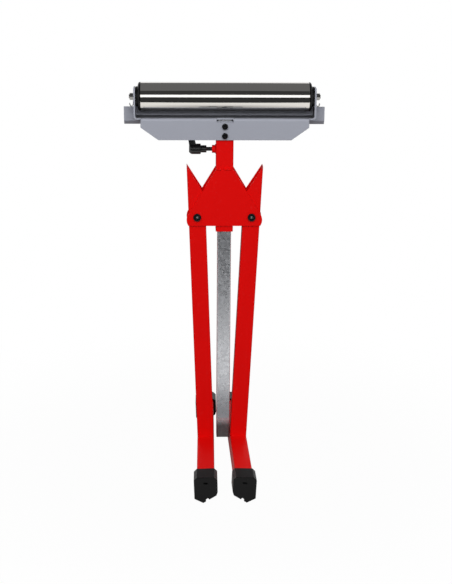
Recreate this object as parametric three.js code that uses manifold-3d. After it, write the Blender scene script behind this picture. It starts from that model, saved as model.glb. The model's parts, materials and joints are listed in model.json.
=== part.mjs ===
// Folding roller stand: a steel roller in a sheet cradle on a height-adjustable square post,
// with two T-shaped legs that hinge between gusset plates. Shown folded, standing on its boots.
// Millimetres, +Z up, the roller along X, the front towards -Y, origin on the floor under the post.
import * as THREE from "three";
import { mergeVertices } from "three/addons/utils/BufferGeometryUtils.js";
import Module from "manifold-3d";

const wasm = await Module();
wasm.setup();

// Fits
const seatGap = 0.3; // between pieces that touch
const slideGap = 0.3; // each side of a piece that slides
const runGap = 0.2; // radial, round a pin that turns
const screwGap = 0.3; // radial, round a screw

// Roller and axle
const axleAbovePivot = 240.8;
const axleDiameter = 10;
const axleThread = 8; // its turned-down ends
const axleStickOut = 1.4; // thread past each nut
const axleNutFlats = 13;
const axleNutThickness = 7.5;
const rollerDiameter = 57;
const rollerWall = 2.5;
const rollerLength = 333;
const capFlange = 5.2;
const capPlugLength = 17;
const bearingOuterDiameter = 30;
const bearingWidth = 9;
const bearingRingWall = 3;
const ballDiameter = 3.6;
const ballCount = 8;
const cageThickness = 1.2;
const cageWidth = 2.4;
const spacerWall = 2.4;
const capBore = 18;

// Cradle
const sheet = 3.5;
const tabGap = 5; // between the roller's end and the tab
const tabHeight = 18.5; // above the axle
const tabCorner = 9;
const tabWidth = 37;
const rollerToFloor = 11.5;
const bendRadius = 6; // outside of each fold
const floorRun = 7.5; // floor between the end of the flanges and the tab's fold
const flangeDrop = 43.5; // from the top of the floor to the lower edge
const flangeChamferX = 35;
const flangeChamferZ = 25;
const notchWidth = 33;
const notchDepth = 8;
const flangeClearance = 0.3; // between the post sleeve and each flange

// Rear rail
const railReach = 21; // past each end tab
const railSheet = 3;
const railAboveFloor = 16.5;
const railWebHeight = 28.4;
const railLip = 11.3;
const nutRoom = 2; // cut out of the rail round the upper head nut
const rivetDiameter = 3.2;
const rivetHeadDiameter = 5;
const rivetHeadHeight = 2.4;
const rivetFlush = 0.1; // the outer head lies this far below the rail's face
const rivetSpacing = 240;

// Post
const outerTube = 35;
const outerWall = 2;
const outerTubeLength = 188.5;
const tubeCorner = 2.5;
const leastCorner = 0.4;
const innerTube = 28;
const innerWall = 2;
const innerTubeLength = 685.3;
const sleeveSize = 36;
const plugLength = 15;
const bushHeight = 30;
const topBushDrop = 40; // below the top of the outer tube
const headScrewDiameter = 8;
const headScrewHead = 12;
const headScrewHeadHeight = 5;
const upperScrewDrop = 16; // below the top of the cradle floor
const screwPitch = 18.6;
const nutFlats = 13;
const nutThickness = 6.5;
const threadPastNut = 1.5;
const hexKey = 5;
const hexKeyDepth = 2.6;

// Gusset plates and leg pivots
const plateThickness = 3;
const plateTopWidth = 36;
const plateTopAbovePivot = 97.4;
const plateBelowPivot = 18.3;
const lobeRadius = 21.6;
const lobeDrop = 6; // of the lobe's middle below the pivot
const pivotHalfSpacing = 55;
const pivotScrewDiameter = 8;
const pivotHeadDiameter = 16;
const pivotHeadHeight = 4.6;
const pivotSleeveDiameter = 12;
const legRunGap = 0.35; // radial, round a pivot sleeve
const washerDiameter = 17;
const washerThickness = 1.6;

// Legs, foot bars and boots
const legWidth = 35;
const legWall = 2;
const legSideGap = 0.5; // between a leg and the depth of the post it folds beside
const legOpenAngle = 30.2; // from upright, when the cut end butts on the post
const leftFold = 2.1; // lean past upright when folded
const rightFold = 2.65;
const leftToeOut = 0.8; // turn of the foot bar round the leg
const rightToeOut = 1.6;
const legDrop = 485.4; // pivot to the top of the foot bar
const footBarSize = 35;
const footBarLength = 438;
const bootWidth = 47;
const bootLength = 43;
const bootTopWall = 4;
const bootEndWall = 4;
const bootSoleDepth = 16.8; // below the foot bar, at the ridge
const bootRidgeOffset = 6; // outwards from the middle
const bootOuterBevel = 29;
const bootCornerRun = 2.6; // of the cut-off inner corner
const bootCornerRise = 6;
const bootTopChamfer = 6;
const treadWidth = 7;
const treadDepth = 4;
const treadFromRidge = 9; // inwards
const bootSlotWidth = 9;
const bootSlotHeight = 3;
const bootSlotDepth = 2;
const bootSlotDrop = 11; // below the top of the boot

// Clamp lever
const clampDrop = 21.5; // below the top of the outer tube
const bossDiameter = 16;
const bossLength = 7.5;
const studDiameter = 8;
const studShown = 11;
const collarDiameter = 14.6;
const collarLength = 11.5;
const barrelDiameter = 21;
const barrelLength = 23.5;
const barrelChamfer = 2.6; // round its outer end
const studInLever = 16;
const padDiameter = 8;
const padThickness = 1.8;
const leverArmHeight = 45;
const leverArmWidth = 10;
const leverArmRoot = 15;
const leverArmTip = 10;
const leverArmLean = 7; // outwards at the tip
const leverArmInset = 7; // of its root from the barrel's inner end
const springWire = 1.1;
const springTurns = 4;
const springCoil = 7.6;
const leverScrewDiameter = 5;
const leverScrewHead = 9.4;
const leverScrewHeadHeight = 4;
const leverWeb = 3;

// Facets of the round faces
const rollerSides = 40;
const roundSides = 24;
const headSides = 20;
const smallSides = 12;
const ballSides = 6;
const ballRings = 4;
const cornerSegments = 3;
const bendSegments = 5;
const lobeSegments = 10;
const springStepsPerTurn = 10;

const past = 1; // how far a solid runs into the one it joins, or beyond the one it cuts
const weldDistance = 1e-4;

// Levels and places worked out from the sizes above
const radians = Math.PI / 180;
const ridgeDrop = legDrop + footBarSize + bootSoleDepth;
const bootEnd = footBarLength / 2 + seatGap + bootEndWall;
const standHeight = (fold, toeOut) => {
  const [lean, turn] = [fold * radians, toeOut * radians];
  const out = bootRidgeOffset * Math.cos(turn) + bootEnd * Math.sin(turn);
  return ridgeDrop * Math.cos(lean) + out * Math.sin(lean);
};
const pivotHeight = Math.max(standHeight(leftFold, leftToeOut), standHeight(rightFold, rightToeOut));
const axleHeight = pivotHeight + axleAbovePivot;
const rollerRadius = rollerDiameter / 2;
const floorTop = axleHeight - rollerRadius - rollerToFloor;
const floorBottom = floorTop - sheet;
const flangeBottom = floorTop - flangeDrop;
const flangeInner = sleeveSize / 2 + flangeClearance;
const flangeOuter = flangeInner + sheet;
const outerTop = flangeBottom + seatGap;
const outerBottom = outerTop - outerTubeLength;
const innerBend = bendRadius - sheet;
const sleeveTop = floorBottom - innerBend - seatGap;
const sleeveBottom = outerTop + seatGap;
const innerTop = floorBottom - seatGap;
const innerBottom = innerTop - innerTubeLength;
const capEnd = rollerLength / 2 + seatGap + capFlange;
const tabInner = capEnd + tabGap;
const tabOuter = tabInner + sheet;
const railHalf = tabOuter + railReach;
const plateInner = outerTube / 2 + seatGap;
const plateOuter = plateInner + plateThickness;
const legDepth = outerTube - 2 * legSideGap;
const clampHeight = outerTop - clampDrop;

const red = { color: 0xd41512, roughness: 0.38, metalness: 0.1 };
const greyPaint = { color: 0x999ba3, roughness: 0.42, metalness: 0.2 };
const galvanised = { color: 0x9a9ea3, roughness: 0.45, metalness: 0.85 };
const polishedSteel = { color: 0xc9c6c2, roughness: 0.14, metalness: 1 };
const bareSteel = { color: 0xb4b4b4, roughness: 0.3, metalness: 1 };
const blackPlastic = { color: 0x202022, roughness: 0.55, metalness: 0 };
const blackScrew = { color: 0x1a1a1c, roughness: 0.4, metalness: 0.6 };
const brass = { color: 0xb08d4a, roughness: 0.35, metalness: 0.9 };
const nylon = { color: 0xe4e0d6, roughness: 0.6, metalness: 0 };

const stand = new THREE.Group();

// A mesh of one named piece, with a material of its own.
function piece(name, solid, finish, parent = stand) {
  const mesh = new THREE.Mesh(toGeometry(solid), new THREE.MeshStandardMaterial(finish));
  mesh.name = name;
  parent.add(mesh);
  return mesh;
}

// A closed geometry as a solid, with its faces turned outwards.
function toSolid(geometry) {
  geometry.deleteAttribute("normal");
  geometry.deleteAttribute("uv");
  const merged = mergeVertices(geometry, weldDistance);
  const place = merged.getAttribute("position");
  const corners = [...merged.index.array];
  const a = new THREE.Vector3();
  const b = new THREE.Vector3();
  const c = new THREE.Vector3();
  let volume = 0;
  const triVerts = [];
  for (let i = 0; i < corners.length; i += 3) {
    const [p, q, r] = corners.slice(i, i + 3);
    if (p === q || q === r || r === p) continue;
    a.fromBufferAttribute(place, p);
    b.fromBufferAttribute(place, q);
    c.fromBufferAttribute(place, r);
    volume += a.dot(b.cross(c));
    triVerts.push(p, q, r);
  }
  if (volume < 0) triVerts.reverse();
  return new wasm.Manifold(
    new wasm.Mesh({ numProp: 3, vertProperties: place.array, triVerts: Uint32Array.from(triVerts) }),
  );
}

function toGeometry(solid) {
  const mesh = solid.getMesh();
  const geometry = new THREE.BufferGeometry();
  geometry.setAttribute("position", new THREE.BufferAttribute(mesh.vertProperties, 3));
  geometry.setIndex(new THREE.BufferAttribute(mesh.triVerts, 1));
  geometry.computeVertexNormals();
  return geometry;
}

const joined = (...solids) => solids.reduce((whole, next) => whole.add(next));
const cut = (whole, ...holes) => holes.reduce((left, hole) => left.subtract(hole), whole);

// A box between two levels on each axis.
function block([x0, x1], [y0, y1], [z0, z1]) {
  const box = new THREE.BoxGeometry(x1 - x0, y1 - y0, z1 - z0);
  return toSolid(box.translate((x0 + x1) / 2, (y0 + y1) / 2, (z0 + z1) / 2));
}

// A round bar along one axis, from one level to another.
function rod(axis, radius, from, to, [u, v], sides = smallSides) {
  const bar = new THREE.CylinderGeometry(radius, radius, to - from, sides);
  const middle = (from + to) / 2;
  if (axis === "x") return toSolid(bar.rotateZ(-Math.PI / 2).translate(middle, u, v));
  if (axis === "y") return toSolid(bar.translate(u, middle, v));
  return toSolid(bar.rotateX(Math.PI / 2).translate(u, v, middle));
}

// A hexagonal bar, by its width across flats.
function hexBar(axis, flats, from, to, at) {
  return rod(axis, flats / Math.sqrt(3), from, to, at, 6);
}

// A turned piece about an X axis at the roller's height, from a closed outline of [radius, x].
function turned(outline, sides = roundSides) {
  const profile = [...outline, outline[0]].map(([r, x]) => new THREE.Vector2(r, x));
  const lathe = new THREE.LatheGeometry(profile, sides);
  return toSolid(lathe.rotateZ(-Math.PI / 2).translate(0, 0, axleHeight));
}

const outlineOf = (points) => new THREE.Shape(points.map(([u, v]) => new THREE.Vector2(u, v)));
const plain = (depth) => ({ depth, bevelEnabled: false, curveSegments: cornerSegments });

// An outline in X and Z, with thickness along Y.
function slabAcrossY(shape, [y0, y1], curveSegments = cornerSegments) {
  const slab = new THREE.ExtrudeGeometry(shape, { ...plain(y1 - y0), curveSegments });
  return toSolid(slab.rotateX(Math.PI / 2).translate(0, y1, 0));
}

// An outline in Y and Z, with thickness along X.
function slabAcrossX(shape, [x0, x1], curveSegments = cornerSegments) {
  const slab = new THREE.ExtrudeGeometry(shape, { ...plain(x1 - x0), curveSegments });
  const turn = new THREE.Matrix4().makeBasis(
    new THREE.Vector3(0, 1, 0),
    new THREE.Vector3(0, 0, 1),
    new THREE.Vector3(1, 0, 0),
  );
  return toSolid(slab.applyMatrix4(turn).translate(x0, 0, 0));
}

// A rectangle with round corners about the origin.
function roundedRectangle(width, height, radius) {
  const [u, v] = [width / 2, height / 2];
  const shape = new THREE.Shape();
  shape.moveTo(-u + radius, -v);
  shape.lineTo(u - radius, -v);
  shape.absarc(u - radius, -v + radius, radius, -Math.PI / 2, 0);
  shape.absarc(u - radius, v - radius, radius, 0, Math.PI / 2);
  shape.absarc(-u + radius, v - radius, radius, Math.PI / 2, Math.PI);
  shape.absarc(-u + radius, -v + radius, radius, Math.PI, 1.5 * Math.PI);
  return shape;
}

// An upright rectangular tube about the Z axis.
function uprightTube(width, depth, wall, corner, [z0, z1]) {
  const shape = roundedRectangle(width, depth, corner);
  const bore = roundedRectangle(width - 2 * wall, depth - 2 * wall, Math.max(corner - wall, leastCorner));
  shape.holes.push(new THREE.Path(bore.getPoints(cornerSegments)));
  return toSolid(new THREE.ExtrudeGeometry(shape, plain(z1 - z0)).translate(0, 0, z0));
}

// A button-head socket screw along +Y, its head seated on the plane y = seat.
function socketScrew(diameter, headDiameter, headHeight, seat, end, [x, z]) {
  const head = rod("y", headDiameter / 2, seat - headHeight, seat, [x, z], headSides);
  const shank = rod("y", diameter / 2, seat - past, end, [x, z]);
  const face = seat - headHeight;
  const socket = hexBar("y", hexKey, face - past, face + hexKeyDepth, [x, z]);
  return cut(joined(head, shank), socket);
}

function hexNut(axis, flats, bore, from, to, at) {
  return cut(hexBar(axis, flats, from, to, at), rod(axis, bore / 2 + screwGap, from - past, to + past, at));
}

// The roller turns on two ball bearings, whose inner rings are clamped on a fixed axle.
function roller() {
  const half = rollerLength / 2;
  const bore = rollerRadius - rollerWall;
  const wall = [[bore, -half], [rollerRadius, -half], [rollerRadius, half], [bore, half]];
  const tube = turned(wall, rollerSides);
  piece("roller_tube", tube, polishedSteel);
  const at = [0, axleHeight];
  const axleEnd = tabOuter + seatGap + axleNutThickness + axleStickOut;
  const shoulder = tabInner - seatGap;
  const axle = joined(
    rod("x", axleDiameter / 2, -shoulder, shoulder, at, headSides),
    rod("x", axleThread / 2, -axleEnd, axleEnd, at, headSides),
  );
  piece("axle", axle, bareSteel);

  const pocket = bearingOuterDiameter / 2;
  const ringBore = axleDiameter / 2 + runGap;
  const innerRing = ringBore + bearingRingWall;
  const outerRing = pocket - bearingRingWall;
  const pitch = (innerRing + outerRing) / 2;
  const flangeFace = half + seatGap;
  const far = flangeFace - seatGap;
  const near = far - bearingWidth;
  const middle = (near + far) / 2;
  for (const [side, hand] of [["left", -1], ["right", 1]]) {
    const x = (value) => hand * value;
    const ring = (low, high, from, to, sides) =>
      turned([[low, x(from)], [high, x(from)], [high, x(to)], [low, x(to)]], sides);
    const plug = bore - seatGap;
    const cap = turned([
      [capBore / 2, x(capEnd)],
      [rollerRadius, x(capEnd)],
      [rollerRadius, x(flangeFace)],
      [plug, x(flangeFace)],
      [plug, x(flangeFace - capPlugLength)],
      [pocket + runGap, x(flangeFace - capPlugLength)],
      [pocket + runGap, x(flangeFace)],
      [capBore / 2, x(flangeFace)],
    ]);
    piece(`roller_cap_${side}`, cap, blackPlastic);
    piece(`bearing_outer_ring_${side}`, ring(outerRing, pocket, near, far), bareSteel);
    piece(`bearing_inner_ring_${side}`, ring(ringBore, innerRing, near, far), bareSteel);
    let balls = ring(
      pitch - cageThickness / 2,
      pitch + cageThickness / 2,
      middle - cageWidth / 2,
      middle + cageWidth / 2,
      2 * ballCount,
    );
    for (let i = 0; i < ballCount; i += 1) {
      const angle = (2 * Math.PI * i) / ballCount;
      const ball = new THREE.SphereGeometry(ballDiameter / 2, ballSides, ballRings);
      const [y, z] = [pitch * Math.cos(angle), axleHeight + pitch * Math.sin(angle)];
      balls = balls.add(toSolid(ball.translate(x(middle), y, z)));
    }
    piece(`bearing_balls_${side}`, balls, bareSteel);
    const spacer = ring(ringBore, ringBore + spacerWall, far + seatGap, tabInner - seatGap, smallSides);
    piece(`axle_spacer_${side}`, spacer, bareSteel);
    const [from, to] = [tabOuter + seatGap, tabOuter + seatGap + axleNutThickness];
    const ends = [x(from), x(to)].sort((p, q) => p - q);
    piece(`axle_nut_${side}`, hexNut("x", axleNutFlats, axleThread, ...ends, at), bareSteel);
  }
}

const upperScrewHeight = floorTop - upperScrewDrop;
const headScrews = [["upper", upperScrewHeight], ["lower", upperScrewHeight - screwPitch]];
const railLow = floorTop + railAboveFloor - railWebHeight;
const lipGain = railSheet * (Math.SQRT2 - 1); // how far the fold takes up the back of the web
const rivetHeight = railLow + lipGain + rivetHeadDiameter / 2 + seatGap;
const rivetPlaces = [["left", -rivetSpacing / 2], ["right", rivetSpacing / 2]];

// One folded sheet: a floor, a flange down each long side and a tab up at each end.
function cradle() {
  const half = tabOuter - bendRadius - floorRun;
  const fold = new THREE.Shape();
  fold.moveTo(-flangeOuter, flangeBottom);
  fold.lineTo(-flangeInner, flangeBottom);
  fold.lineTo(-flangeInner, floorBottom - innerBend);
  fold.absarc(-flangeInner + innerBend, floorBottom - innerBend, innerBend, Math.PI, Math.PI / 2, true);
  fold.absarc(flangeInner - innerBend, floorBottom - innerBend, innerBend, Math.PI / 2, 0, true);
  fold.lineTo(flangeInner, flangeBottom);
  fold.lineTo(flangeOuter, flangeBottom);
  fold.absarc(flangeOuter - bendRadius, floorTop - bendRadius, bendRadius, 0, Math.PI / 2);
  fold.absarc(-flangeOuter + bendRadius, floorTop - bendRadius, bendRadius, Math.PI / 2, Math.PI);
  let body = slabAcrossX(fold, [-half, half], bendSegments);

  const tabTop = axleHeight + tabHeight;
  const bendTop = floorBottom + bendRadius;
  const tab = new THREE.Shape();
  tab.moveTo(-tabWidth / 2, bendTop - past);
  tab.lineTo(tabWidth / 2, bendTop - past);
  tab.absarc(tabWidth / 2 - tabCorner, tabTop - tabCorner, tabCorner, 0, Math.PI / 2);
  tab.absarc(-tabWidth / 2 + tabCorner, tabTop - tabCorner, tabCorner, Math.PI / 2, Math.PI);
  for (const hand of [-1, 1]) {
    const bendCentre = tabOuter - bendRadius;
    const bend = new THREE.Shape();
    bend.moveTo(half - past, floorTop);
    bend.lineTo(half - past, floorBottom);
    bend.absarc(bendCentre, bendTop, bendRadius, -Math.PI / 2, 0);
    bend.absarc(bendCentre, bendTop, innerBend, 0, -Math.PI / 2, true);
    const strip = outlineOf(bend.getPoints(bendSegments).map((p) => [hand * p.x, p.y]));
    const ends = [hand * tabInner, hand * tabOuter].sort((p, q) => p - q);
    body = joined(
      body,
      slabAcrossY(strip, [-tabWidth / 2, tabWidth / 2]),
      slabAcrossX(tab, ends, bendSegments),
    );
    const chamferSlope = flangeChamferZ / flangeChamferX;
    const corner = outlineOf([
      [hand * (half + past), flangeBottom + flangeChamferZ + past * chamferSlope],
      [hand * (half + past), flangeBottom - past],
      [hand * (half - flangeChamferX - past / chamferSlope), flangeBottom - past],
    ]);
    body = cut(body, slabAcrossY(corner, [-flangeOuter - past, flangeOuter + past]));
  }
  const axleHole = axleThread / 2 + screwGap;
  body = cut(
    body,
    rod("x", axleHole, -tabOuter - past, tabOuter + past, [0, axleHeight]),
    block(
      [-notchWidth / 2, notchWidth / 2],
      [-flangeOuter - past, -flangeOuter + bendRadius],
      [floorTop - notchDepth, floorTop + past],
    ),
  );
  for (const [, height] of headScrews) {
    const hole = headScrewDiameter / 2 + screwGap;
    body = cut(body, rod("y", hole, -flangeOuter - past, flangeOuter + past, [0, height]));
  }
  for (const [, x] of rivetPlaces) {
    const hole = rivetDiameter / 2 + screwGap;
    body = cut(body, rod("y", hole, flangeInner - past, flangeOuter + past, [x, rivetHeight]));
  }
  piece("roller_cradle", body, greyPaint);
}

// A rail with a lip folded back under it, riveted to the cradle's rear flange.
function rearRail() {
  const front = flangeOuter + seatGap;
  const back = front + railSheet;
  const top = floorTop + railAboveFloor;
  const low = railLow;
  const reach = railLip * Math.SQRT1_2;
  const skew = railSheet * Math.SQRT1_2;
  const profile = outlineOf([
    [front, top],
    [front, low],
    [front + reach, low - reach],
    [front + reach + skew, low - reach + skew],
    [back, low + lipGain],
    [back, top],
  ]);
  const nutRadius = nutFlats / Math.sqrt(3) + nutRoom;
  const relief = block(
    [-nutRadius, nutRadius],
    [front - past, front + reach + railSheet + past],
    [low - railLip - railSheet, upperScrewHeight + nutRadius],
  );
  let rail = cut(slabAcrossX(profile, [-railHalf, railHalf]), relief);
  for (const [side, x] of rivetPlaces) {
    const at = [x, rivetHeight];
    const headEnd = back - rivetFlush;
    const headSeat = back - railSheet / 2;
    rail = cut(
      rail,
      rod("y", rivetDiameter / 2 + screwGap, front - past, back + past, at),
      rod("y", rivetHeadDiameter / 2 + screwGap, headSeat - seatGap, back + past, at),
    );
    const tailSeat = flangeInner - seatGap;
    const rivet = joined(
      rod("y", rivetHeadDiameter / 2, headSeat, headEnd, at),
      rod("y", rivetDiameter / 2, tailSeat - rivetHeadHeight / 2, headSeat + railSheet / 4, at),
      rod("y", rivetHeadDiameter / 2, tailSeat - rivetHeadHeight, tailSeat, at),
    );
    piece(`rail_rivet_${side}`, rivet, bareSteel);
  }
  piece("rear_rail", rail, greyPaint);
}

// The sliding inner post, its head sleeve and the two screws that hold the cradle on it.
function innerPost() {
  const sleeveBore = innerTube + 2 * slideGap;
  const sleeveWall = (sleeveSize - sleeveBore) / 2;
  let sleeve = uprightTube(sleeveSize, sleeveSize, sleeveWall, tubeCorner, [sleeveBottom, sleeveTop]);
  let tube = uprightTube(innerTube, innerTube, innerWall, tubeCorner, [innerBottom, innerTop]);
  const screwEnd = flangeOuter + seatGap + nutThickness + threadPastNut;
  for (const [level, height] of headScrews) {
    const hole = rod("y", headScrewDiameter / 2 + screwGap, -sleeveSize, sleeveSize, [0, height]);
    sleeve = cut(sleeve, hole);
    tube = cut(tube, hole);
    const seat = -flangeOuter - seatGap;
    const at = [0, height];
    const screw = socketScrew(headScrewDiameter, headScrewHead, headScrewHeadHeight, seat, screwEnd, at);
    piece(`head_screw_${level}`, screw, blackScrew);
    const nutFrom = flangeOuter + seatGap;
    const nut = hexNut("y", nutFlats, headScrewDiameter, nutFrom, nutFrom + nutThickness, at);
    piece(`head_nut_${level}`, nut, bareSteel);
  }
  piece("post_sleeve", sleeve, greyPaint);
  piece("inner_tube", tube, galvanised);
  const plugSize = innerTube - 2 * innerWall - 2 * seatGap;
  const plugLevels = [innerBottom, innerBottom + plugLength];
  const plug = uprightTube(plugSize, plugSize, innerWall, tubeCorner, plugLevels);
  piece("inner_tube_plug", plug, blackPlastic);
}

// The fixed outer post with its guide bushes.
function outerPost() {
  const wallHole = rod("x", studDiameter / 2 + screwGap, -outerTube, 0, [0, clampHeight]);
  const tube = uprightTube(outerTube, outerTube, outerWall, tubeCorner, [outerBottom, outerTop]);
  piece("outer_tube", cut(tube, wallHole), red);
  const bushSize = outerTube - 2 * outerWall - 2 * slideGap;
  const bushWall = (bushSize - innerTube - 2 * slideGap) / 2;
  const topBush = outerTop - topBushDrop;
  for (const [name, top] of [["top", topBush], ["bottom", outerBottom + bushHeight]]) {
    const bush = uprightTube(bushSize, bushSize, bushWall, bushWall, [top - bushHeight, top]);
    piece(`guide_bush_${name}`, bush, nylon);
  }
}

// The side of a gusset plate leaves its lobe where a line from the top corner touches the round.
function lobeAngle() {
  const run = pivotHalfSpacing - plateTopWidth / 2;
  const rise = plateTopAbovePivot + lobeDrop;
  return Math.atan2(rise, -run) - Math.acos(lobeRadius / Math.hypot(run, rise));
}

function gussetPlates() {
  const low = Math.asin((lobeDrop - plateBelowPivot) / lobeRadius);
  const touch = lobeAngle();
  const plate = new THREE.Shape();
  plate.moveTo(plateTopWidth / 2, plateTopAbovePivot);
  plate.lineTo(-plateTopWidth / 2, plateTopAbovePivot);
  plate.absarc(-pivotHalfSpacing, -lobeDrop, lobeRadius, Math.PI - touch, Math.PI - low);
  plate.absarc(pivotHalfSpacing, -lobeDrop, lobeRadius, low, touch);
  const screwHole = pivotScrewDiameter / 2 + screwGap;
  for (const [name, from] of [["front", -plateOuter], ["rear", plateInner]]) {
    let slab = slabAcrossY(plate, [from, from + plateThickness], lobeSegments).translate(0, 0, pivotHeight);
    for (const x of [-pivotHalfSpacing, pivotHalfSpacing]) {
      slab = cut(slab, rod("y", screwHole, from - past, from + plateThickness + past, [x, pivotHeight]));
    }
    piece(`${name}_plate`, slab, red);
  }
  for (const [side, x] of [["left", -pivotHalfSpacing], ["right", pivotHalfSpacing]]) {
    const at = [x, pivotHeight];
    const washerFrom = plateOuter + seatGap;
    const nutFrom = washerFrom + washerThickness + seatGap;
    const end = nutFrom + nutThickness + threadPastNut;
    const seat = -plateOuter - seatGap;
    const screw = socketScrew(pivotScrewDiameter, pivotHeadDiameter, pivotHeadHeight, seat, end, at);
    piece(`pivot_screw_${side}`, screw, blackScrew);
    const washer = rod("y", washerDiameter / 2, washerFrom, washerFrom + washerThickness, at, headSides);
    piece(`pivot_washer_${side}`, cut(washer, rod("y", screwHole, 0, end, at)), bareSteel);
    const nut = hexNut("y", nutFlats, pivotScrewDiameter, nutFrom, nutFrom + nutThickness, at);
    piece(`pivot_nut_${side}`, nut, bareSteel);
    const half = plateInner - seatGap;
    const sleeve = rod("y", pivotSleeveDiameter / 2, -half, half, at);
    const sleeveBore = rod("y", screwHole, -half - past, half + past, at);
    piece(`pivot_sleeve_${side}`, cut(sleeve, sleeveBore), bareSteel);
  }
}

// A T-shaped leg in its own frame: the pivot at the origin, the leg hanging down along -Z.
function leg(side, hand, fold, toeOut) {
  const frame = new THREE.Group();
  frame.position.set(hand * pivotHalfSpacing, 0, pivotHeight);
  frame.rotation.y = hand * fold * radians;
  stand.add(frame);

  const open = legOpenAngle * radians;
  const buttDistance = pivotHalfSpacing - outerTube / 2 - seatGap;
  const cutHeight = (out) => (buttDistance + out * Math.cos(open)) / Math.sin(open);
  const tip = cutHeight(legWidth / 2);
  const legLow = -legDrop + seatGap;
  const tube = uprightTube(legWidth, legDepth, legWall, tubeCorner, [legLow, tip + past]);
  const beyond = legWidth;
  const waste = outlineOf([
    [-hand * beyond, cutHeight(-beyond)],
    [hand * beyond, cutHeight(beyond)],
    [hand * beyond, 2 * tip],
    [-hand * beyond, 2 * tip],
  ]);
  const pivotHole = rod("y", pivotSleeveDiameter / 2 + legRunGap, -legDepth, legDepth, [0, 0]);
  piece(`leg_${side}`, cut(tube, slabAcrossY(waste, [-legDepth, legDepth]), pivotHole), red, frame);

  const foot = new THREE.Group();
  foot.rotation.z = hand * toeOut * radians;
  frame.add(foot);
  const barMiddle = -legDrop - footBarSize / 2;
  const barShape = roundedRectangle(footBarSize, footBarSize, tubeCorner);
  const barBore = roundedRectangle(footBarSize - 2 * legWall, footBarSize - 2 * legWall, legWall / 2);
  barShape.holes.push(new THREE.Path(barBore.getPoints(cornerSegments)));
  const halfBar = footBarLength / 2;
  const bar = slabAcrossY(barShape, [-halfBar, halfBar]).translate(0, 0, barMiddle);
  piece(`foot_bar_${side}`, bar, red, foot);
  for (const [end, way] of [["front", -1], ["rear", 1]]) {
    piece(`boot_${end}_${side}`, boot(hand, way, barMiddle), blackPlastic, foot);
  }
}

// A moulded boot over one end of a foot bar. Its inner sole lies flat when the leg is open.
function boot(hand, way, barMiddle) {
  const half = bootWidth / 2;
  const top = barMiddle + footBarSize / 2 + bootTopWall;
  const ridge = barMiddle - footBarSize / 2 - bootSoleDepth;
  const slope = Math.tan(legOpenAngle * radians);
  const innerRise = (half + bootRidgeOffset) * slope;
  const outerRise = (half - bootRidgeOffset) * Math.tan(bootOuterBevel * radians);
  const shape = outlineOf([
    [hand * bootRidgeOffset, ridge],
    [hand * half, ridge + outerRise],
    [hand * half, top - bootTopChamfer],
    [hand * (half - bootTopChamfer), top],
    [-hand * (half - bootTopChamfer), top],
    [-hand * half, top - bootTopChamfer],
    [-hand * half, ridge + innerRise + bootCornerRise],
    [-hand * (half - bootCornerRun), ridge + innerRise - bootCornerRun * slope],
  ]);
  const inEnd = bootEnd - bootLength;
  const along = (from, to) => [way * from, way * to].sort((p, q) => p - q);
  const pocket = footBarSize / 2 + seatGap;
  const treadMiddle = bootRidgeOffset - treadFromRidge;
  const treadHeight = ridge + treadFromRidge * slope;
  const treadAcross = [-treadWidth / 2, treadWidth / 2];
  const tread = block(treadAcross, along(inEnd - past, bootEnd + past), [-treadDepth, treadDepth])
    .rotate(0, hand * legOpenAngle, 0)
    .translate(hand * treadMiddle, 0, treadHeight);
  return cut(
    slabAcrossY(shape, along(inEnd, bootEnd)),
    block(
      [-pocket, pocket],
      along(inEnd - past, bootEnd - bootEndWall),
      [barMiddle - pocket, barMiddle + pocket],
    ),
    tread,
    block(
      [-bootSlotWidth / 2, bootSlotWidth / 2],
      along(bootEnd - bootSlotDepth, bootEnd + past),
      [top - bootSlotDrop - bootSlotHeight, top - bootSlotDrop],
    ),
  );
}

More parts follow.
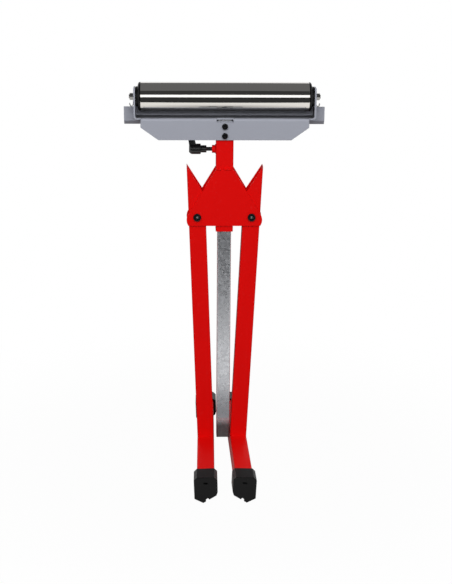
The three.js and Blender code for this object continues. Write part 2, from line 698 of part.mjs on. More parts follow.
// A clamp screw through a boss on the post, with a sprung lever that is pulled out to turn back.
function clampLever() {
  const at = [0, clampHeight];
  const bossFrom = -outerTube / 2 - seatGap;
  const bossEnd = bossFrom - bossLength;
  const boss = rod("x", bossDiameter / 2, bossEnd, bossFrom, at, headSides);
  const bossHole = rod("x", studDiameter / 2 + screwGap, bossEnd - past, bossFrom + past, at);
  piece("clamp_boss", cut(boss, bossHole), red);

  const padFace = -innerTube / 2 - seatGap;
  const padBack = padFace - padThickness;
  piece("clamp_pad", rod("x", padDiameter / 2, padBack, padFace, at), brass);

  const collarFrom = bossEnd - studShown;
  const barrelFrom = collarFrom - collarLength;
  const barrelEnd = barrelFrom - barrelLength;
  const studEnd = collarFrom - studInLever;
  piece("clamp_stud", rod("x", studDiameter / 2, studEnd, padBack - seatGap, at), blackScrew);

  const webFrom = studEnd - seatGap;
  const webEnd = webFrom - leverWeb;
  const bore = leverScrewHead / 2 + runGap;
  const armFrom = barrelFrom - leverArmInset;
  const armEnd = armFrom - leverArmRoot;
  const armShape = outlineOf([
    [armFrom, clampHeight],
    [armEnd + leverArmTip - leverArmLean, clampHeight + leverArmHeight],
    [armEnd - leverArmLean, clampHeight + leverArmHeight],
    [armEnd, clampHeight],
  ]);
  const solid = joined(
    turned([
      [0, barrelFrom],
      [barrelDiameter / 2, barrelFrom],
      [barrelDiameter / 2, barrelEnd + barrelChamfer],
      [barrelDiameter / 2 - barrelChamfer, barrelEnd],
      [0, barrelEnd],
    ]).translate([0, 0, clampHeight - axleHeight]),
    rod("x", collarDiameter / 2, barrelFrom - past, collarFrom, at, headSides),
    slabAcrossY(armShape, [-leverArmWidth / 2, leverArmWidth / 2]),
  );
  const handle = cut(
    solid,
    rod("x", studDiameter / 2 + runGap, webFrom, collarFrom + past, at),
    rod("x", leverScrewDiameter / 2 + runGap, webEnd - past, webFrom + past, at),
    rod("x", bore, barrelEnd - past, webEnd, at),
  );
  piece("lever_handle", handle, blackPlastic);

  const headEnd = barrelEnd + seatGap;
  const headFrom = headEnd + leverScrewHeadHeight;
  const screw = joined(
    rod("x", leverScrewHead / 2, headEnd, headFrom, at),
    rod("x", leverScrewDiameter / 2, headFrom - past, studEnd - seatGap, at),
  );
  const key = hexBar("x", hexKey, headEnd - past, headEnd + hexKeyDepth, at);
  piece("lever_screw", cut(screw, key), bareSteel);

  const springFrom = headFrom + seatGap + springWire / 2;
  const springTo = webEnd - seatGap - springWire / 2;
  const turns = [];
  const steps = springTurns * springStepsPerTurn;
  for (let i = 0; i <= steps; i += 1) {
    const angle = (2 * Math.PI * i) / springStepsPerTurn;
    const x = springFrom + ((springTo - springFrom) * i) / steps;
    const [y, z] = [(springCoil / 2) * Math.cos(angle), (springCoil / 2) * Math.sin(angle)];
    turns.push(new THREE.Vector3(x, y, clampHeight + z));
  }
  const wire = new THREE.Shape().absarc(0, 0, springWire / 2, 0, 2 * Math.PI);
  const coil = new THREE.ExtrudeGeometry(wire, {
    steps,
    curveSegments: cornerSegments,
    bevelEnabled: false,
    extrudePath: new THREE.CatmullRomCurve3(turns),
  });
  piece("lever_spring", toSolid(coil), bareSteel);
}

roller();
cradle();
rearRail();
innerPost();
outerPost();
gussetPlates();
leg("left", -1, leftFold, leftToeOut);
leg("right", 1, rightFold, rightToeOut);
clampLever();

export default stand;
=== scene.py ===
"""Looks of a folding roller stand: paint, metal, mouldings, welds and fasteners."""

import json
import math

import bmesh
import bpy
from bpy.props import FloatProperty, FloatVectorProperty, IntProperty, PointerProperty
from mathutils import Matrix, Vector


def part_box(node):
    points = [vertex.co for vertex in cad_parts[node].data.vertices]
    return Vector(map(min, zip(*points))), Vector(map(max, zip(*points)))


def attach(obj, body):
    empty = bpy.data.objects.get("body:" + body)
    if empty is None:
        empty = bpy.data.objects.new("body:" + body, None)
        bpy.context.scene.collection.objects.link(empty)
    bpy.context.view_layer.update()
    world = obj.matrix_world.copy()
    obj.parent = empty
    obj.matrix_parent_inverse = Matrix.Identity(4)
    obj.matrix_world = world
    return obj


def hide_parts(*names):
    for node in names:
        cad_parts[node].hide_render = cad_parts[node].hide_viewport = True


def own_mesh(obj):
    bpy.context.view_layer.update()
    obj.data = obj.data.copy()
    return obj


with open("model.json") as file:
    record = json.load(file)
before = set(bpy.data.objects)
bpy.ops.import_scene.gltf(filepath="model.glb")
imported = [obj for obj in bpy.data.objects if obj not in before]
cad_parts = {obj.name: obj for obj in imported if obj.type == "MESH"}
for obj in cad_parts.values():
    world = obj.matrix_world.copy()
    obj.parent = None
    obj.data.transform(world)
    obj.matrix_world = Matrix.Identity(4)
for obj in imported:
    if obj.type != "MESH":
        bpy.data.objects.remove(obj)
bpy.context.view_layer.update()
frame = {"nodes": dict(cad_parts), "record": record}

bl_info = {
    "name": "Folding Roller Stand",
    "version": (1, 0, 0),
    "blender": (4, 5, 0),
    "location": "View3D > Sidebar > Roller Stand",
    "description": "Builds the finish and fine detail of a folding roller stand",
    "category": "Object",
}

MM = 0.001
FINISH = " finish"  # ends the name of each material made here
HANDS = (("left", -1), ("right", 1))

# Surfaces
WHITE = (1, 1, 1, 1)
DUST = (0.7, 0.68, 0.66, 1)
# Painted shade, laid into close corners where shade falls
PAINTED_SHADE = (0.02, 0.02, 0.021, 1)
SHADE_REACH = 25 * MM  # how near the other side of a corner must be for painted shade
RUBBED = (0.5, 0.5, 0.5, 1)
# Painted dark reflection at the low end of the inner post
PAINTED_DARK_REFLECTION = (0.03, 0.03, 0.029, 1)
DARK_REFLECTION_HEIGHTS = (0.079, 0.096)  # painted dark reflection on the inner post, from fullest to none
CRYSTAL_BEND = 4 * MM
FLOOR_MATT = (0.3, 0.295, 0.29, 1)
FLOOR_MIRRORED = (1.0, 0.985, 0.96, 1)

# Meshes
SHARP_ANGLE = math.radians(38)  # between two faces whose edge stays sharp in shading
ROUNDED_ANGLE = math.radians(42)  # between two faces whose edge gets rounded
FLAT_ANGLE = math.radians(0.5)  # between two faces that count as one
MERGE_DISTANCE = 0.01 * MM
FASTENER_SIDES = 48
WASHER_SIDES = 64
LEVER_SIDES = 96
THREAD_DEPTH = 0.6  # as a share of the pitch
ROLLER_WALL = 2.5
SLOT_DEPTHS = (0.5 * MM, 8 * MM)  # behind a boot's end face, least and most
LEAST_RIPPLE = (0.55, 0.82, 0.82)
MOST_RIPPLE = (0.75, 1.08, 1.08)

# Radius and height round the lever's barrel, from its collar out and back through its bore
LEVER_PROFILE = (
    (4.4, 0), (6.6, 0), (7.3, 0.7), (7.3, 10.6), (7.0, 11.2), (9.3, 11.5), (10.1, 11.8), (10.5, 12.6),
    (10.5, 29.2), (10.0, 31.0), (8.6, 33.0), (6.6, 34.7), (5.6, 35.0), (5.1, 34.7), (5.1, 19.4),
    (2.9, 19.3), (2.9, 16.3), (4.4, 16.2))

# Run of an axle clip, out from the end tab and up from the axle
CLIP_PATH = (
    (0.05, -7.8), (0.1, -12.0), (0.5, -15.4), (1.8, -18.2), (4.0, -19.8), (6.4, -19.0), (8.0, -16.2),
    (8.6, -13.4))
CLIP_WIDTH = 11.0
CLIP_SHEET = 1.1

# Stage
FLOOR_REACH = 9
# Each flag's name, level, half width, and the Y and Z of its near and far edges
# Cards that only shiny surfaces show, lighting nothing and casting no shadow: the dark flags are painted
# dark reflections, the bright strip a painted highlight
FLAGS = (
    ("flag_overhead", 0.15, 4, (-1.32, 2.6), (2.5, 2.6)),
    ("flag_forward", 0.045, 4, (-4.7, 2.6), (-1.32, 2.6)),
    ("strip_light", 1.5, 4, (-4.7, 0.93), (-4.7, 2.58)),
    ("flag_low", 0.035, 4, (-1.13, 0.01), (-1.13, 0.815)),
    ("flag_feet", 0.25, 0.1, (-0.18, 0.09), (-0.02, 0.09)),
    ("flag_floor", 0.035, 4, (-1.13, 0.01), (-0.87, 0.01)),
)


class StandColours(bpy.types.PropertyGroup):
    """Colours of the stand's finishes."""

    red: FloatVectorProperty(
        name="Red paint", description="Powder coat of the post, gussets and legs",
        subtype="COLOR", size=3, min=0, max=1, default=(0.78, 0.0032, 0.0026))
    grey: FloatVectorProperty(
        name="Grey paint", description="Powder coat of the cradle and rail",
        subtype="COLOR", size=3, min=0, max=1, default=(0.375, 0.39, 0.45))
    zinc: FloatVectorProperty(
        name="Zinc", description="Galvanised inner post",
        subtype="COLOR", size=3, min=0, max=1, default=(0.7, 0.72, 0.765))
    roller: FloatVectorProperty(
        name="Roller steel", description="Ground and plated roller tube",
        subtype="COLOR", size=3, min=0, max=1, default=(0.74, 0.72, 0.695))
    bright: FloatVectorProperty(
        name="Plated steel", description="Nuts, washers, axle and bearings",
        subtype="COLOR", size=3, min=0, max=1, default=(0.45, 0.45, 0.44))
    plastic: FloatVectorProperty(
        name="Black plastic", description="Boots, roller caps and lever",
        subtype="COLOR", size=3, min=0, max=1, default=(0.005, 0.005, 0.0055))
    oxide: FloatVectorProperty(
        name="Black oxide", description="Socket screws and clamp stud",
        subtype="COLOR", size=3, min=0, max=1, default=(0.008, 0.008, 0.0095))
    brass: FloatVectorProperty(
        name="Brass", description="Clamp pad",
        subtype="COLOR", size=3, min=0, max=1, default=(0.6, 0.42, 0.15))
    nylon: FloatVectorProperty(
        name="Nylon", description="Guide bushes and nut inserts",
        subtype="COLOR", size=3, min=0, max=1, default=(0.78, 0.75, 0.68))


class StandStudio(bpy.types.PropertyGroup):
    """Camera and light round the stand."""

    lens: FloatProperty(
        name="Lens", description="Focal length of the camera, in millimetres",
        min=20, max=300, default=74.0)
    distance: FloatProperty(
        name="Distance", description="From the camera to the point it looks at",
        unit="LENGTH", min=0.5, max=10, default=2.5)
    azimuth: FloatProperty(
        name="Azimuth", description="Turn of the camera round the post",
        subtype="ANGLE", default=math.radians(-1.8))
    elevation: FloatProperty(
        name="Elevation", description="Height of the camera above the horizon",
        subtype="ANGLE", default=math.radians(17.6))
    roll: FloatProperty(
        name="Roll", description="Lean of the camera", subtype="ANGLE", default=math.radians(0.4))
    aim: FloatVectorProperty(
        name="Aim", description="Point that the camera looks at",
        subtype="TRANSLATION", size=3, default=(0.0049, 0.0, 0.3719))
    front_light: FloatProperty(
        name="Front light", description="Power of the large front light",
        subtype="POWER", min=0, max=500, default=50)
    sky: FloatProperty(
        name="Sky", description="Level of the even light from all round", min=0, max=4, default=0.36)


class StandSizes(bpy.types.PropertyGroup):
    """Sizes of the fine detail on the stand."""

    sheet_edge: FloatProperty(
        name="Sheet edge", description="Rounding of the edges of folded and cut sheet",
        unit="LENGTH", min=0, max=0.002, default=0.55 * MM)
    tube_edge: FloatProperty(
        name="Tube edge", description="Rounding of the cut ends of tube",
        unit="LENGTH", min=0, max=0.002, default=0.35 * MM)
    moulded_edge: FloatProperty(
        name="Moulded edge", description="Rounding of the edges of moulded plastic",
        unit="LENGTH", min=0, max=0.003, default=1.1 * MM)
    round_sides: IntProperty(
        name="Round sides", description="Sides of a turned piece", min=24, max=256, default=144)
    bead_radius: FloatProperty(
        name="Bead radius", description="Size of the ripples of a weld bead",
        unit="LENGTH", min=0, max=0.006, default=3.0 * MM)
    fine_bead_radius: FloatProperty(
        name="Fine bead radius", description="Size of the ripples of the beads at the boss and the feet",
        unit="LENGTH", min=0, max=0.006, default=1.5 * MM)
    bead_pitch: FloatProperty(
        name="Bead pitch", description="Spacing of the ripples of a weld bead",
        unit="LENGTH", min=0.0002, max=0.006, default=1.3 * MM)
    bead_seed: IntProperty(
        name="Bead seed", description="Fixed start of the bead's uneven ripples", min=0, default=7)
    fold_left: FloatProperty(
        name="Left fold", description="Lean of the left leg at rest", subtype="ANGLE",
        default=math.radians(2.1))
    fold_right: FloatProperty(
        name="Right fold", description="Lean of the right leg at rest", subtype="ANGLE",
        default=math.radians(2.65))


class StandSettings(bpy.types.PropertyGroup):
    """All the values of the roller stand."""

    sizes: PointerProperty(type=StandSizes, name="Sizes", description="Fine detail")
    colours: PointerProperty(type=StandColours, name="Colours", description="Finishes")
    studio: PointerProperty(type=StandStudio, name="Studio", description="Camera and light")


def settings():
    return bpy.context.scene.roller_stand


def linked(tree, kind, inputs=None, **options):
    """A new node with its options set and its inputs set or joined, by socket name or number."""
    made = tree.nodes.new(kind)
    for option, value in options.items():
        setattr(made, option, value)
    for socket, value in (inputs or {}).items():
        if isinstance(value, bpy.types.NodeSocket):
            tree.links.new(value, made.inputs[socket])
        else:
            made.inputs[socket].default_value = value
    return made


def calc(tree, operation, *terms, clamp=False):
    """The result of one sum on numbers and masks."""
    made = linked(
        tree, "ShaderNodeMath", dict(enumerate(terms)), operation=operation, use_clamp=clamp)
    return made.outputs[0]


def ranged(tree, value, given, wanted, **options):
    """A value taken from one range to another, and held at its ends."""
    made = linked(
        tree, "ShaderNodeMapRange",
        {"Value": value, "From Min": given[0], "From Max": given[1], "To Min": wanted[0],
         "To Max": wanted[1]}, **options)
    return made.outputs[0]


def mixed(tree, share, first, second):
    """The first colour, with the second laid over it as far as a mask says."""
    made = linked(tree, "ShaderNodeMix", {0: share, 6: first, 7: second}, data_type="RGBA")
    return made.outputs["Result"]


def object_place(tree):
    """The place on the piece itself, which patterns read."""
    return linked(tree, "ShaderNodeTexCoord").outputs["Object"]


def noise(tree, place, scale, detail=2.0):
    """A cloudy mask."""
    made = linked(tree, "ShaderNodeTexNoise", {"Vector": place, "Scale": scale, "Detail": detail})
    return made.outputs["Fac"]


def bumped(tree, height, depth, distance):
    """The normal of a surface with a fine relief."""
    made = linked(tree, "ShaderNodeBump", {"Height": height, "Strength": depth, "Distance": distance})
    return made.outputs["Normal"]


def shifted_colour(tree, colour, amount, mask):
    """The colour made lighter or darker by a mask about one half, as far as the amount says."""
    swing = calc(tree, "MULTIPLY", calc(tree, "SUBTRACT", mask, 0.5), amount)
    value = calc(tree, "ADD", swing, 1.0)
    made = linked(tree, "ShaderNodeHueSaturation", {"Color": colour, "Value": value})
    return made.outputs["Color"]


def painted_corner_shade(tree, amount):
    """A mask of painted shade in close corners, on faces that look neither to the front nor to the back."""
    close = linked(tree, "ShaderNodeAmbientOcclusion", {"Distance": SHADE_REACH})
    shut_in = calc(tree, "SUBTRACT", 1.0, close.outputs["AO"])
    facing = linked(tree, "ShaderNodeNewGeometry")
    axes = linked(tree, "ShaderNodeSeparateXYZ", {0: facing.outputs["Normal"]})
    aside = calc(tree, "SUBTRACT", 1.0, calc(tree, "ABSOLUTE", axes.outputs["Y"]))
    return calc(tree, "MULTIPLY", calc(tree, "MULTIPLY", shut_in, aside), amount, clamp=True)


def skin_group(name, inputs):
    """An empty shader group for a surface, the sockets of its input node, and its output node."""
    tree = bpy.data.node_groups.new(name, "ShaderNodeTree")
    for socket, kind, default in inputs:
        made = tree.interface.new_socket(socket, in_out="INPUT", socket_type="NodeSocket" + kind)
        made.default_value = default
    for socket, kind in (("Colour", "Color"), ("Roughness", "Float"), ("Normal", "Vector")):
        tree.interface.new_socket(socket, in_out="OUTPUT", socket_type="NodeSocket" + kind)
    return tree, tree.nodes.new("NodeGroupInput").outputs, tree.nodes.new("NodeGroupOutput")


def give(tree, out, colour, roughness, normal):
    """Joins a surface's results to the outputs of its group."""
    tree.links.new(colour, out.inputs["Colour"])
    tree.links.new(roughness, out.inputs["Roughness"])
    tree.links.new(normal, out.inputs["Normal"])


def paint_skin_group():
    """Powder coat: a fine orange peel, a slow drift of colour, specks of dust, and painted shade in close
    corners.
    """
    tree, given, out = skin_group("Paint skin", (
        ("Colour", "Color", (0.5, 0.5, 0.5, 1)), ("Drift", "Float", 0.08),
        ("Peel Scale", "Float", 900.0), ("Peel Depth", "Float", 0.12),
        ("Gloss Base", "Float", 0.36), ("Grime", "Float", 0.0)))
    place = object_place(tree)
    slow = noise(tree, place, 9.0, 3.0)
    tint = shifted_colour(tree, given["Colour"], given["Drift"], slow)
    dust = ranged(tree, noise(tree, place, 160.0, 5.0), (0.64, 0.8), (0.0, 0.02))
    dusty = mixed(tree, dust, tint, DUST)
    # Painted shade darkens close corners
    shaded_coat = mixed(tree, painted_corner_shade(tree, given["Grime"]), dusty, PAINTED_SHADE)
    peel = noise(tree, place, given["Peel Scale"])
    give(
        tree, out, shaded_coat, calc(tree, "MULTIPLY_ADD", slow, 0.12, given["Gloss Base"]),
        bumped(tree, peel, given["Peel Depth"], 0.2 * MM))
    return tree


def moulded_grain_group():
    """Moulded plastic: a fine spark-eroded grain and pale rubbed specks."""
    tree, given, out = skin_group("Moulded grain", (
        ("Colour", "Color", (0.02, 0.02, 0.02, 1)), ("Grain Scale", "Float", 1400.0),
        ("Grain Depth", "Float", 0.25), ("Rub", "Float", 0.02), ("Gloss Base", "Float", 0.27)))
    place = object_place(tree)
    grain = noise(tree, place, given["Grain Scale"], 3.0)
    tint = shifted_colour(tree, given["Colour"], 0.5, noise(tree, place, 30.0))
    rub = ranged(tree, noise(tree, place, 220.0, 5.0), (0.6, 0.8), (0.0, given["Rub"]))
    give(
        tree, out, mixed(tree, rub, tint, RUBBED),
        calc(tree, "MULTIPLY_ADD", grain, 0.2, given["Gloss Base"]),
        bumped(tree, grain, given["Grain Depth"], 0.1 * MM))
    return tree


def tool_marks_group():
    """Machined metal: fine lines across one direction, with their own shine and colour."""
    tree, given, out = skin_group("Tool marks", (
        ("Colour", "Color", (0.6, 0.6, 0.6, 1)), ("Stretch", "Vector", (1, 1, 1)),
        ("Line Scale", "Float", 400.0), ("Line Depth", "Float", 0.1), ("Shade", "Float", 0.15),
        ("Gloss Base", "Float", 0.2), ("Gloss Swing", "Float", 0.12)))
    drawn = linked(
        tree, "ShaderNodeMapping", {"Vector": object_place(tree), "Scale": given["Stretch"]})
    lines = noise(tree, drawn.outputs[0], given["Line Scale"], 4.0)
    give(
        tree, out, shifted_colour(tree, given["Colour"], given["Shade"], lines),
        calc(tree, "MULTIPLY_ADD", lines, given["Gloss Swing"], given["Gloss Base"]),
        bumped(tree, lines, given["Line Depth"], 0.1 * MM))
    return tree


def new_material(name):
    """A material with a bare Principled shader, and that shader."""
    made = bpy.data.materials.new(name + FINISH)
    made.use_nodes = True
    return made, made.node_tree.nodes["Principled BSDF"]


def opaque(colour):
    return (*colour, 1.0)


def grouped_material(name, group, colour, metal, sheen, values):
    """A material whose colour, roughness and normal come from a shader group."""
    made, shader = new_material(name)
    tree = made.node_tree
    skin = linked(tree, "ShaderNodeGroup", {"Colour": opaque(colour), **values}, node_tree=group)
    tree.links.new(skin.outputs["Colour"], shader.inputs["Base Color"])
    tree.links.new(skin.outputs["Roughness"], shader.inputs["Roughness"])
    tree.links.new(skin.outputs["Normal"], shader.inputs["Normal"])
    shader.inputs["Metallic"].default_value = metal
    shader.inputs["Specular IOR Level"].default_value = sheen


def galvanised_material(name, colour):
    """Zinc coat with interlocked crystals, each with its own tone and shine, and a painted dark reflection
    at the low end.
    """
    made, shader = new_material(name)
    tree = made.node_tree
    place = object_place(tree)
    warp = linked(tree, "ShaderNodeTexNoise", {"Vector": place, "Scale": 240.0})
    bent = linked(
        tree, "ShaderNodeVectorMath", {0: warp.outputs["Color"], 1: (CRYSTAL_BEND,) * 3},
        operation="MULTIPLY")
    moved = linked(tree, "ShaderNodeVectorMath", {0: place, 1: bent.outputs[0]}, operation="ADD")
    crystals = linked(tree, "ShaderNodeTexVoronoi", {"Vector": moved.outputs[0], "Scale": 210.0})
    own = linked(tree, "ShaderNodeSeparateColor", {"Color": crystals.outputs["Color"]}).outputs
    tint = shifted_colour(tree, opaque(colour), 0.13, own["Red"])
    height = linked(tree, "ShaderNodeSeparateXYZ", {0: moved.outputs[0]})
    # Painted dark reflection, fullest at the low end
    low_dark_reflection = ranged(tree, height.outputs["Z"], DARK_REFLECTION_HEIGHTS, (0.82, 0.0))
    rough = calc(tree, "MULTIPLY_ADD", own["Green"], 0.14, 0.24)
    tree.links.new(mixed(tree, low_dark_reflection, tint, PAINTED_DARK_REFLECTION), shader.inputs["Base Color"])
    tree.links.new(rough, shader.inputs["Roughness"])
    tree.links.new(bumped(tree, own["Blue"], 0.1, 0.2 * MM), shader.inputs["Normal"])
    shader.inputs["Metallic"].default_value = 0.88


def build_materials():
    """Every finish, under the name of its material slot in the record."""
    colours = settings().colours
    paint, grain, marks = paint_skin_group(), moulded_grain_group(), tool_marks_group()
    for name, group, colour, metal, sheen, values in (
        ("red_paint", paint, colours.red, 0.0, 0.07, {"Drift": 0.1, "Gloss Base": 0.3}),
        # The grey coat gets painted shade in close corners, such as the cradle's floor under the roller
        ("grey_paint", paint, colours.grey, 0.0, 0.25,
         {"Drift": 0.07, "Peel Scale": 1200.0, "Gloss Base": 0.38, "Grime": 1.3}),
        ("roller_steel", marks, colours.roller, 1.0, 0.5,
         {"Stretch": (1.0, 0.01, 0.01), "Line Scale": 700.0, "Line Depth": 0.02, "Shade": 0.05,
          "Gloss Base": 0.045, "Gloss Swing": 0.04}),
        ("bare_steel", marks, colours.bright, 1.0, 0.5, {"Line Scale": 900.0, "Gloss Base": 0.22}),
        ("black_plastic", grain, colours.plastic, 0.0, 0.2, {}),
        ("satin_plastic", grain, colours.plastic, 0.0, 0.65, {"Gloss Base": 0.2}),
        # Pure black: painted shade at the bottom of the boots' slots
        ("slot_painted_shade", grain, (0, 0, 0), 0.0, 0.0, {"Rub": 0.0}),
        ("black_screw", marks, colours.oxide, 0.5, 0.5,
         {"Line Scale": 800.0, "Gloss Base": 0.3, "Shade": 0.3}),
        ("brass", marks, colours.brass, 1.0, 0.5, {"Line Scale": 600.0}),
        ("nylon", grain, colours.nylon, 0.0, 0.5, {"Grain Scale": 900.0, "Rub": 0.0}),
    ):
        grouped_material(name, group, colour, metal, sheen, values)
    galvanised_material("galvanised", colours.zinc)


def finish(slot):
    """The material of a slot, made with all the others when it is first asked for."""
    if slot + FINISH not in bpy.data.materials:
        build_materials()
    return bpy.data.materials[slot + FINISH]


def body_of(node):
    """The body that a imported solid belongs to."""
    for body, nodes in frame["record"]["behaviour"]["bodies"].items():
        if node in nodes:
            return body
    raise KeyError(node)


def slot_of(node):
    """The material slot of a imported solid."""
    for subpart in frame["record"]["subparts"]:
        if subpart["node"] == node:
            return subpart["material_slot"]
    raise KeyError(node)


def joint_named(name):
    """A joint of the record."""
    for joint in frame["record"]["behaviour"]["joints"]:
        if joint["name"] == name:
            return joint
    raise KeyError(name)


def box_mm(node):
    """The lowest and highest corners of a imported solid, in millimetres."""
    low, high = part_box(node)
    return Vector(low) / MM, Vector(high) / MM


def middle(node):
    """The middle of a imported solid's box."""
    low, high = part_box(node)
    return (Vector(low) + Vector(high)) / 2


def new_object(name, data):
    """An object in the scene."""
    made = bpy.data.objects.new(name, data)
    bpy.context.scene.collection.objects.link(made)
    return made


def add_piece(name, mesh, body, slot, *stands_for):
    """Puts a finished mesh on its body, in the place of the solids that it stands for."""
    mesh.materials.clear()
    mesh.materials.append(finish(slot))
    made = new_object(name, mesh)
    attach(made, body)
    if stands_for:
        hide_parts(*stands_for)
    return made


def baked(worker, name):
    """The plain mesh that an object's modifiers give; the object itself goes."""
    ready = worker.evaluated_get(bpy.context.evaluated_depsgraph_get())
    mesh = bpy.data.meshes.new_from_object(ready)
    mesh.name = name
    worker.modifiers.clear()
    bpy.data.objects.remove(worker)
    return mesh


def merged_copy(node):
    """A solid's mesh with its loose triangles joined and its flat faces made whole."""
    copy = bmesh.new()
    copy.from_mesh(frame["nodes"][node].data)
    bmesh.ops.remove_doubles(copy, verts=copy.verts, dist=MERGE_DISTANCE)
    bmesh.ops.dissolve_limit(copy, angle_limit=FLAT_ANGLE, verts=copy.verts, edges=copy.edges)
    mesh = bpy.data.meshes.new(node + "_copy")
    copy.to_mesh(mesh)
    copy.free()
    mesh.shade_smooth()
    return mesh


def soften(node, edge, segments=2):
    """A solid with its sharp edges rounded, in the place of the plain one."""
    worker = new_object(node + "_work", merged_copy(node))
    bevel = worker.modifiers.new("rounded edges", "BEVEL")
    bevel.limit_method = "ANGLE"
    bevel.angle_limit = ROUNDED_ANGLE
    bevel.width = edge
    bevel.segments = segments
    bevel.use_clamp_overlap = False
    even = worker.modifiers.new("flat faces stay flat", "WEIGHTED_NORMAL")
    even.mode = "FACE_AREA"
    even.weight = 100
    return add_piece(
        node + "_finish", baked(worker, node + "_finish"), body_of(node), slot_of(node), node)


def skin_over(shape, loops, closed=False):
    """Lays faces from each loop of corners to the next; a closed skin joins up, an open one gets ends."""
    for low, high in zip(loops, loops[1:] + loops[:1] if closed else loops[1:]):
        for i in range(len(low)):
            j = (i + 1) % len(low)
            shape.faces.new((low[i], low[j], high[j], high[i]))
    if not closed:
        shape.faces.new(loops[0])
        shape.faces.new(loops[-1])
    bmesh.ops.recalc_face_normals(shape, faces=shape.faces)


def shaded_mesh(name, shape):
    """The mesh of a finished shape, smooth but for its sharp edges."""
    mesh = bpy.data.meshes.new(name)
    shape.to_mesh(mesh)
    shape.free()
    mesh.shade_smooth()
    mesh.set_sharp_from_angle(angle=SHARP_ANGLE)
    return mesh


def ringed(name, rings, sides, closed=False):
    """A turned mesh round Z. Each ring gives radius and height at an angle."""
    shape = bmesh.new()
    turns = [2 * math.pi * i / sides for i in range(sides)]
    loops = []
    for ring in rings:
        loops.append([])
        for turn in turns:
            radius, height = ring(turn)
            loops[-1].append(shape.verts.new((radius * math.cos(turn), radius * math.sin(turn), height)))
    skin_over(shape, loops, closed)
    return shaded_mesh(name, shape)


def circle(radius, height):
    """A plain round ring."""
    return lambda turn: (radius * MM, height * MM)


def turned(name, profile, sides):
    """A turned mesh round Z, from the radius and height of each corner of its closed profile."""
    return ringed(name, [circle(*corner) for corner in profile], sides, closed=True)


def hexagon(half_flats, height, chamfer=0.0):
    """A ring of a hex bar; with a chamfer its corners drop (or rise, if negative) towards the rim."""
    sector = math.pi / 3

    def ring(turn):
        reach = half_flats / math.cos((turn + sector / 2) % sector - sector / 2)
        return reach * MM, (height - chamfer * (reach - half_flats)) * MM
    return ring


def thread(radius, pitch, low, high, steps=8):
    """Rings of a screw thread from one height to another."""
    def ring_at(height):
        def ring(turn):
            wave = (height / pitch - turn / (2 * math.pi)) % 1.0
            return (radius - THREAD_DEPTH * pitch * (1 - abs(2 * wave - 1))) * MM, height * MM
        return ring
    count = max(2, round((high - low) / pitch * steps))
    return [ring_at(low + (high - low) * i / count) for i in range(count + 1)]


def socket_screw(name, shank, head, height, key, length, pitch):
    """A socket-head screw whose head seat is at zero, head up, thread down."""
    rings = [circle(shank * 0.7, -length), *thread(shank, pitch, -length + 0.6, -length + 9.0)]
    rings += [circle(shank, -length + 9.6), circle(shank, 0), circle(head - 0.5, 0), circle(head, 0.5)]
    rings += [circle(head, height - 1.2), circle(head - 0.35, height - 0.35), circle(head - 1.2, height)]
    rings += [circle(key * 1.28, height), circle(key * 1.2, height - 0.25), hexagon(key, height - 0.8)]
    rings += [hexagon(key, height * 0.45), circle(0.4, height * 0.38)]
    return ringed(name, rings, FASTENER_SIDES)


def hex_nut(name, half_flats, bore, height, dome=0.0):
    """A chamfered hex nut from zero up; a dome gives it the collar of a lock nut."""
    slope = math.tan(math.radians(30))
    rings = [circle(bore, 0), circle(half_flats * 0.97, 0), hexagon(half_flats, 0, -slope)]
    rings += [hexagon(half_flats, height - dome, slope), circle(half_flats * 0.93, height - dome)]
    if dome:
        rings += [circle(half_flats * 0.88, height - dome * 0.35), circle(half_flats * 0.74, height)]
    rings += [circle(bore + 0.5, height), circle(bore, height - 0.5)]
    return ringed(name, rings, FASTENER_SIDES, closed=True)


def geometry_tree(name, inputs):
    """An empty geometry tree, the sockets of its input node, and its output node."""
    tree = bpy.data.node_groups.new(name, "GeometryNodeTree")
    for socket, kind in inputs:
        tree.interface.new_socket(socket, in_out="INPUT", socket_type="NodeSocket" + kind)
    tree.interface.new_socket("Geometry", in_out="OUTPUT", socket_type="NodeSocketGeometry")
    return tree, tree.nodes.new("NodeGroupInput").outputs, tree.nodes.new("NodeGroupOutput")


def dress(tree, out, instances, material):
    """Ends a geometry tree with its instances made real, in one finish."""
    real = linked(tree, "GeometryNodeRealizeInstances", {0: instances})
    dressed = linked(tree, "GeometryNodeSetMaterial", {0: real.outputs[0], "Material": material})
    tree.links.new(dressed.outputs[0], out.inputs[0])


def row_tree():
    """Geometry nodes that set a part out in a row, each one turned on from the last."""
    found = bpy.data.node_groups.get("Part row")
    if found:
        return found
    tree, given, out = geometry_tree("Part row", (
        ("Geometry", "Geometry"), ("Part", "Object"), ("Count", "Int"), ("First", "Vector"),
        ("Step", "Vector"), ("Turn", "Vector"), ("Turn Step", "Vector"), ("Finish", "Material")))
    line = linked(
        tree, "GeometryNodeMeshLine",
        {"Count": given["Count"], "Start Location": given["First"], "Offset": given["Step"]},
        mode="OFFSET")
    part = linked(tree, "GeometryNodeObjectInfo", {"Object": given["Part"]})
    place = linked(tree, "GeometryNodeInputIndex")
    onward = linked(
        tree, "ShaderNodeVectorMath", {0: given["Turn Step"], "Scale": place.outputs[0]},
        operation="SCALE")
    turn = linked(
        tree, "ShaderNodeVectorMath", {0: given["Turn"], 1: onward.outputs[0]}, operation="ADD")
    set_out = linked(
        tree, "GeometryNodeInstanceOnPoints",
        {"Points": line.outputs[0], "Instance": part.outputs["Geometry"], "Rotation": turn.outputs[0]})
    dress(tree, out, set_out.outputs[0], given["Finish"])
    return tree


